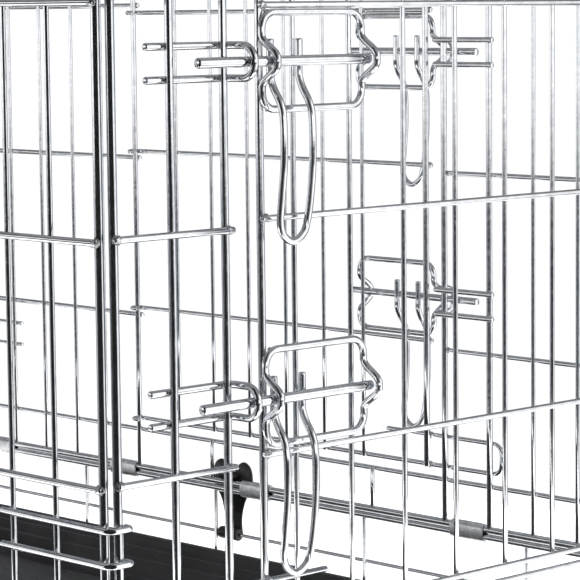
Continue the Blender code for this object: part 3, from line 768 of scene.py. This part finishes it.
# ---- hooks and sleeves
def hooks():
    """Four hooks at each corner, from the long side round the end panel's post."""
    far_post = WIDTH - END_FAR_POST
    corners = (("front_near", near_place, END_NEAR_POST, False), ("front_far", far_place, far_post, False),
               ("rear_near", near_place, far_post, True), ("rear_far", far_place, far_post, True))
    for corner, place, post, mirror in corners:
        for number, height in enumerate(HOOK_Z, start=1):
            def at(u, w):
                return place(LENGTH - u if mirror else u, w, height)
            round_post = -(post + HOOK_OUT)
            past = -HOOK_OUT - 0.4
            line = [at(HOOK_ARM, HOOK_OUT), at(past, HOOK_OUT), at(past, round_post),
                    at(HOOK_END, round_post)]
            mesh = bmesh.new()
            sweep(mesh, rounded(line, HOOK_BEND, 8), HOOK_R)
            across = at(1, 0) - at(0, 0)
            outward = at(0, 1) - at(0, 0)
            for u, thick in HOOK_WELDS:
                weld(mesh, at(u, (thick + HOOK_OUT - HOOK_R) / 2 + 0.2), across, UP, outward,
                     thick * 1.1, max(0.7, (HOOK_OUT - HOOK_R - thick) / 2 + 0.5))
            piece(f"corner_hook_{corner}_{number}", mesh, "cage_base", f"hook_{corner}_{number}")


def sleeve(node):
    """A strip of sheet rolled round two rods, slightly dented and drawn in at its ends."""
    low, high = bottom_of(node), top_of(node)
    middle = (low + high) / 2
    size = high - low
    axis = max(range(3), key=lambda i: size[i])
    tall = sorted(range(3), key=lambda i: size[i])[1]
    flat = 3 - axis - tall
    inner = size[flat] / 2 - SLEEVE_WALL
    half_step = (size[tall] - size[flat]) / 2
    mesh = bmesh.new()
    outsides, insides = [], []
    for station in SLEEVE_STATIONS:
        flare = 0.0 if abs(station) < 0.45 else -0.12 - 0.25 * (abs(station) > 0.49)
        for rings, radius in ((outsides, inner + SLEEVE_WALL + flare), (insides, inner)):
            ring = []
            for k in range(SLEEVE_SIDES):
                angle = 2 * math.pi * (k + 0.5) / SLEEVE_SIDES
                at = Vector((0, 0, 0))
                at[axis] = station * size[axis]
                at[flat] = radius * math.cos(angle)
                at[tall] = (half_step if math.sin(angle) > 0 else -half_step) + radius * math.sin(angle)
                at[flat] += SLEEVE_DENT * noise.noise((at + middle) * 0.35)
                ring.append(mesh.verts.new((middle + at) * MM))
            rings.append(ring)
    for pair, after in zip(zip(outsides, insides), zip(outsides[1:], insides[1:])):
        for a, b in zip(pair, after):
            skin(mesh, a, b)
    for end in (0, -1):
        skin(mesh, outsides[end], insides[end])
    for face in mesh.faces:
        face.smooth = True
    for ring in (outsides[0], outsides[-1]):
        for k in range(SLEEVE_SIDES):
            mesh.edges.get((ring[k], ring[(k + 1) % SLEEVE_SIDES])).smooth = False
    piece(f"{node}_sheet", mesh, "cage_base", node, (SHEET,))


# ---- base, tray and clip
def base_frame():
    """The base: rails, corner wires, lower wires, wires down the walls and under the floor."""
    mesh = bmesh.new()
    side_out = HALF_W + LOWER_WIRE_OUT
    rear_out = HALF_L + LOWER_WIRE_OUT

    def straight(start, end, radius, amount=CROSS_WAVE):
        sweep(mesh, wavy(start, end, amount), radius)

    for side in (-1, 1):
        y = side * HALF_W
        straight((-HALF_L - 1, y, RAIL_Z), (HALF_L + 0.8, y, RAIL_Z), ROD_R)
        straight((-rear_out, side * side_out, LOWER_WIRE_Z), (HALF_L + 0.5, side * side_out, LOWER_WIRE_Z),
                 LOWER_WIRE_R, 0.1)
        corner = side * (HALF_W - CORNER_INSET)
        straight((HALF_L, corner, CORNER_BOTTOM), (HALF_L, corner, FRONT_RAIL_Z + 1.2), CORNER_R, 0.0)
        straight((-HALF_L, y, CORNER_BOTTOM), (-HALF_L, y, RAIL_Z + 1.2), CORNER_R, 0.0)
        for u in WALL_WIRES:
            x = HALF_L - u
            along, outward = Vector((1, 0, 0)), Vector((0, side, 0))
            weld(mesh, Vector((x, y + side * 1.1, LOWER_WIRE_Z)), along, UP, outward, 1.4, 0.7)
            weld(mesh, Vector((x, y, RAIL_Z - 1.7)), along, outward, UP, 1.5, 0.8)
    for u in WALL_WIRES:
        x = HALF_L - u
        ends = [(x, -HALF_W, RAIL_Z - 0.4), (x, -HALF_W, WALL_WIRE_BOTTOM), (x, HALF_W, WALL_WIRE_BOTTOM),
                (x, HALF_W, RAIL_Z - 0.4)]
        sweep(mesh, rounded(ends, 6.0, 7), UPRIGHT_R)
    for x in (HALF_L - 1.0, 1.0 - HALF_L):
        straight((x, -HALF_W - 0.8, FLOOR_END_Z), (x, HALF_W + 0.8, FLOOR_END_Z), FLOOR_END_R, UPRIGHT_WAVE)
    for y in FLOOR_RUNNERS_Y:
        ends = [(HALF_L - 0.2, y, RUNNER_Z), (-HALF_L, y, RUNNER_Z), (-HALF_L, y, RAIL_Z + 0.8)]
        sweep(mesh, rounded(ends, 5.0, 7), RUNNER_R)
    straight((HALF_L, -HALF_W, FRONT_RAIL_Z), (HALF_L, HALF_W, FRONT_RAIL_Z), ROD_R)
    straight((-HALF_L, -HALF_W - 1, RAIL_Z), (-HALF_L, HALF_W + 1, RAIL_Z), ROD_R)
    rear_z = LOWER_WIRE_Z + 0.1
    straight((-rear_out, -side_out, rear_z), (-rear_out, side_out, rear_z), LOWER_WIRE_R)
    piece("base_wires", mesh, "cage_base", "base_frame")


def tray():
    """A moulded tray: a flat rim, stepped walls and a floor with one shallow rib round it."""
    low, high = bottom_of("tray"), top_of("tray")
    rim = high.z
    floor_z = low.z + 3.0
    half = Vector(((high.x - low.x) / 2, (high.y - low.y) / 2))
    inside = ((0.0, rim - 3.2), (0.0, rim - 1.0), (0.7, rim - 0.2), (1.6, rim), (4.6, rim), (5.6, rim - 0.5),
              (6.2, rim - 1.6), (7.0, rim - 7.0), (7.5, rim - 7.6), (9.2, rim - 7.9), (9.7, rim - 8.6),
              (10.4, rim - 14.0), (10.9, rim - 14.6), (12.6, rim - 14.9), (13.1, rim - 15.6),
              (13.9, floor_z + 3.0), (15.2, floor_z + 0.9), (17.5, floor_z), (30.0, floor_z),
              (31.5, floor_z + 0.8), (36.5, floor_z + 0.8), (38.0, floor_z))
    outside = ((0.0, rim - 3.2), (2.6, rim - 3.4), (3.0, rim - 4.6), (3.6, low.z + 4.0), (4.6, low.z + 1.3),
               (7.0, low.z), (30.0, low.z))
    mesh = bmesh.new()

    def loop(offset, z, corner=16.0):
        x, y = half.x - offset, half.y - offset
        turn = max(corner - offset, 3.0)
        ring = []
        for cx, cy, start in ((x - turn, y - turn, 0), (turn - x, y - turn, 90),
                              (turn - x, turn - y, 180), (x - turn, turn - y, 270)):
            for step in range(7):
                angle = math.radians(start + 15 * step)
                ring.append(mesh.verts.new((cx * MM + turn * MM * math.cos(angle),
                                            cy * MM + turn * MM * math.sin(angle), z * MM)))
        return ring

    for profile in (inside, outside):
        rings = [loop(*p) for p in profile]
        for a, b in zip(rings, rings[1:]):
            skin(mesh, a, b)
        mesh.faces.new(rings[-1])
    bmesh.ops.remove_doubles(mesh, verts=mesh.verts, dist=1e-6)
    for face in mesh.faces:
        face.smooth = len(face.verts) == 4
    shown = piece("tray_shell", mesh, "tray", "tray", (PLASTIC,))
    shown.data.set_sharp_from_angle(angle=math.radians(50))


def rail_clip():
    """The black clip: a waisted plate with two round ears, a barrel on the lower wire, a lip and ribs."""
    low, high = bottom_of("rail_clip"), top_of("rail_clip")
    centre = (low.x + high.x) / 2
    wire_y = HALF_W + LOWER_WIRE_OUT
    lip_y, lip_z = HALF_W + 1.6, 84.9
    outline = [(8.6, 45.0), (8.0, 56.0), (11.4, 68.0), (17.6, 76.5), (19.0, 84.0), (17.2, 91.5), (11.5, 95.0),
               (6.4, 93.0), (3.8, 89.0), (0.0, 87.8)]
    half = spline([(u, 0, z) for u, z in outline], 4)
    line = half + [Vector((-p.x, 0, p.z)) for p in reversed(half[:-1])]
    middle = sum((p.z for p in line)) / len(line)
    mesh = bmesh.new()
    inner_y, outer_y = wire_y + 2.4, high.y
    loops = []
    for y, shrink in ((inner_y, 0.6), (inner_y + 0.5, 0.0), (outer_y - 0.5, 0.0), (outer_y, 0.6)):
        loops.append([mesh.verts.new(((centre + p.x * (1 - shrink / 14)) * MM, y * MM,
                                      (middle + (p.z - middle) * (1 - shrink / 24)) * MM)) for p in line])
    for a, b in zip(loops, loops[1:]):
        skin(mesh, a, b)
    mesh.faces.new(loops[0])
    mesh.faces.new(list(reversed(loops[-1])))
    barrel = [Vector((centre - 9 + 18 * i / 4, wire_y, LOWER_WIRE_Z)) for i in range(5)]
    sweep(mesh, barrel, 4.1, sides=24, cap=0.15)
    lip = [(centre - 7, lip_y, lip_z), (centre, lip_y, 85.0), (centre + 7, lip_y, lip_z)]
    sweep(mesh, lip, 1.5)
    rib = [Vector((centre, HALF_W - 1.0, lip_z)), Vector((centre, inner_y + 0.6, lip_z))]
    for offset in (-6.0, -2.0, 2.0, 6.0):
        sweep(mesh, [p + Vector((offset, 0, 0)) for p in rib], 1.4, sides=12)
    for face in mesh.faces:
        face.smooth = True
    shown = piece("clip_moulding", mesh, "clip", "rail_clip", (PLASTIC,))
    shown.data.set_sharp_from_angle(angle=math.radians(45))


# ---- camera, floor and light
CAMERA_PLACE = (1212.0, -932.6, 393.3)
CAMERA_LENS = 161.3
CAMERA_ROLL = 0.59
VIEW_FORWARD = Vector((-0.7186, 0.6872, -0.1066))
FLOOR_RADIUS = 0.62
CARD_WIDTH = 190.0
CARD_HEIGHT = 700.0
CARD_AHEAD = 56.0
CARD_ASIDE = 24.0
LAMP_PLACE = (0.4, -0.2, 2.6)
LAMP_SIZE = 3.0
LAMP_POWER = 190.0
BACKDROP = (1.05, 1.05, 1.05)

# ---- the light round the cage, by the direction that it comes from. Each table runs once round the
# ---- horizon, or half way round and back for LEVEL_LIGHT. Heights are the sine of the elevation.
LIGHT_TURN = 60.7
LOW_TO_LEVEL = (-0.075, -0.03)
LEVEL_TO_TILTED = (0.13, 0.24)
TILTED_TO_CEILING = (0.5, 0.72)
LOW_LIGHT = ((0.0, (0.7, 0.76, 0.83)), (0.04, (0.5, 0.57, 0.66)), (0.10, (0.26, 0.3, 0.36)),
             (0.16, (0.26, 0.29, 0.34)), (0.20, (0.5, 0.52, 0.55)), (0.27, (0.85, 0.86, 0.88)),
             (0.31, (0.16, 0.17, 0.18)), (0.36, (0.05, 0.052, 0.056)), (0.5, (0.02, 0.021, 0.024)),
             (0.64, (0.05, 0.052, 0.056)), (0.69, (0.2, 0.21, 0.23)), (0.72, (1.1, 1.1, 1.1)),
             (0.80, (1.4, 1.4, 1.4)), (0.85, (0.3, 0.33, 0.38)), (0.90, (0.26, 0.3, 0.37)),
             (0.96, (0.5, 0.57, 0.66)), (1.0, (0.7, 0.76, 0.83)))
LEVEL_LIGHT = ((0.0, (1.4, 1.4, 1.4)), (0.30, (1.45, 1.45, 1.45)), (0.50, (1.35, 1.36, 1.38)),
               (0.64, (0.8, 0.82, 0.85)), (0.74, (0.22, 0.24, 0.27)), (0.88, (0.34, 0.4, 0.48)),
               (1.0, (0.85, 0.9, 0.95)))
TILTED_LIGHT = ((0.0, (0.1, 0.11, 0.12)), (0.29, (0.15, 0.155, 0.16)), (0.40, (0.09, 0.095, 0.1)),
                (0.5, (0.05, 0.05, 0.055)), (0.625, (0.3, 0.3, 0.31)), (0.68, (1.45, 1.45, 1.45)),
                (0.81, (1.5, 1.5, 1.5)), (0.85, (0.12, 0.125, 0.13)), (1.0, (0.12, 0.13, 0.14)))
CEILING_LIGHT = (0.3, 0.31, 0.32)


def camera():
    data = bpy.data.cameras.new("camera")
    data.sensor_width = 36.0
    data.lens = CAMERA_LENS
    data.clip_start = 0.05
    data.clip_end = 100.0
    view = bpy.data.objects.new("camera", data)
    forward = VIEW_FORWARD.normalized()
    level = forward.cross(UP).normalized()
    upright = level.cross(forward)
    roll = math.radians(CAMERA_ROLL)
    up = upright * math.cos(roll) + level * math.sin(roll)
    right = level * math.cos(roll) - upright * math.sin(roll)
    turn = Matrix((right, up, -forward)).transposed().to_4x4()
    view.matrix_world = Matrix.Translation(Vector(CAMERA_PLACE) * MM) @ turn
    bpy.context.scene.collection.objects.link(view)
    bpy.context.scene.camera = view
    bpy.context.scene.view_settings.view_transform = "Standard"


def floor():
    s = Shader("pale_floor")
    s.feed("Base Color", s.ramp(s.noise(2.0, 3.0), [(0.3, (0.93, 0.93, 0.935)), (0.7, (0.96, 0.96, 0.962))]))
    s.base.inputs["Roughness"].default_value = 0.75
    mesh = bmesh.new()
    bmesh.ops.create_circle(mesh, segments=96, radius=FLOOR_RADIUS, cap_ends=True)
    show("floor", mesh, (s.material,))


def studio():
    """White behind the cage, and round it light and dark bands that draw the lines down the wires."""
    world = bpy.data.worlds.new("studio")
    bpy.context.scene.world = world
    world.use_nodes = True
    tree = world.node_tree
    background = tree.nodes["Background"]
    place = tree.nodes.new("ShaderNodeTexCoord")
    split = tree.nodes.new("ShaderNodeSeparateXYZ")
    turn = tree.nodes.new("ShaderNodeVectorRotate")
    turn.rotation_type = "Z_AXIS"
    turn.inputs["Angle"].default_value = math.radians(LIGHT_TURN)
    tree.links.new(place.outputs["Generated"], turn.inputs["Vector"])
    tree.links.new(turn.outputs["Vector"], split.inputs["Vector"])
    height = split.outputs["Z"]

    def math_node(kind, first, second=None):
        made = tree.nodes.new("ShaderNodeMath")
        made.operation = kind
        tree.links.new(first, made.inputs[0])
        if isinstance(second, float):
            made.inputs[1].default_value = second
        elif second is not None:
            tree.links.new(second, made.inputs[1])
        return made.outputs[0]

    def rise(value, span):
        made = tree.nodes.new("ShaderNodeMapRange")
        made.interpolation_type = "SMOOTHSTEP"
        made.inputs["From Min"].default_value, made.inputs["From Max"].default_value = span
        tree.links.new(value, made.inputs["Value"])
        return made.outputs["Result"]

    def mix(factor, first, second):
        made = tree.nodes.new("ShaderNodeMixRGB")
        tree.links.new(factor, made.inputs["Fac"])
        tree.links.new(first, made.inputs["Color1"])
        if isinstance(second, tuple):
            made.inputs["Color2"].default_value = (*second, 1.0)
        else:
            tree.links.new(second, made.inputs["Color2"])
        return made.outputs["Color"]

    azimuth = math_node("ARCTAN2", split.outputs["Y"], split.outputs["X"])
    around = math_node("DIVIDE", math_node("ABSOLUTE", azimuth), math.pi)
    turned = math_node("ADD", math_node("DIVIDE", azimuth, 2 * math.pi), 0.5)
    slope = math_node("ABSOLUTE", height)
    level = mix(rise(height, LOW_TO_LEVEL), color_ramp(tree, turned, LOW_LIGHT),
                color_ramp(tree, around, LEVEL_LIGHT))
    surround = mix(rise(slope, LEVEL_TO_TILTED), level, color_ramp(tree, turned, TILTED_LIGHT))
    surround = mix(rise(slope, TILTED_TO_CEILING), surround, CEILING_LIGHT)
    seen = tree.nodes.new("ShaderNodeLightPath").outputs["Is Camera Ray"]
    tree.links.new(mix(seen, surround, BACKDROP), background.inputs["Color"])
    background.inputs["Strength"].default_value = 1.0

    lamp = bpy.data.lights.new("overhead", "AREA")
    lamp.shape = "RECTANGLE"
    lamp.size = lamp.size_y = LAMP_SIZE
    lamp.energy = LAMP_POWER
    light = bpy.data.objects.new("overhead", lamp)
    light.location = LAMP_PLACE
    light.visible_glossy = False
    bpy.context.scene.collection.objects.link(light)


def black_card():
    """A black card before the near front corner, seen only in reflections."""
    s = Shader("black_card")
    colors = [(0.3, (0.008, 0.008, 0.009)), (0.7, (0.016, 0.016, 0.018))]
    s.feed("Base Color", s.ramp(s.noise(6.0, 2.0), colors))
    s.base.inputs["Roughness"].default_value = 0.9
    forward = Vector((VIEW_FORWARD.x, VIEW_FORWARD.y, 0)).normalized()
    right = forward.cross(UP)
    middle = Vector((HALF_L, -HALF_W, CARD_HEIGHT / 2)) - forward * CARD_AHEAD - right * CARD_ASIDE
    mesh = bmesh.new()
    turn = Matrix((right, UP, -forward)).transposed().to_4x4()
    size = Matrix.Diagonal((CARD_WIDTH * MM, CARD_HEIGHT * MM, 1.0, 1.0))
    bmesh.ops.create_grid(mesh, x_segments=4, y_segments=8, size=0.5,
                          matrix=Matrix.Translation(middle * MM) @ turn @ size)
    card = show("flag", mesh, (s.material,))
    card.visible_camera = False
    card.visible_diffuse = False
    card.visible_shadow = False


camera()
side_panels()
end_panels()
top_panel()
door("front_door_wires", "front_door", "front_door", front_place, FRONT_DOOR)
door("side_door_wires", "side_door", "side_door", far_place, SIDE_DOOR)
latches()
hooks()
for sleeve_node in sorted(frame["nodes"]):
    if sleeve_node.startswith("sleeve"):
        sleeve(sleeve_node)
base_frame()
tray()
rail_clip()
floor()
studio()
black_card()
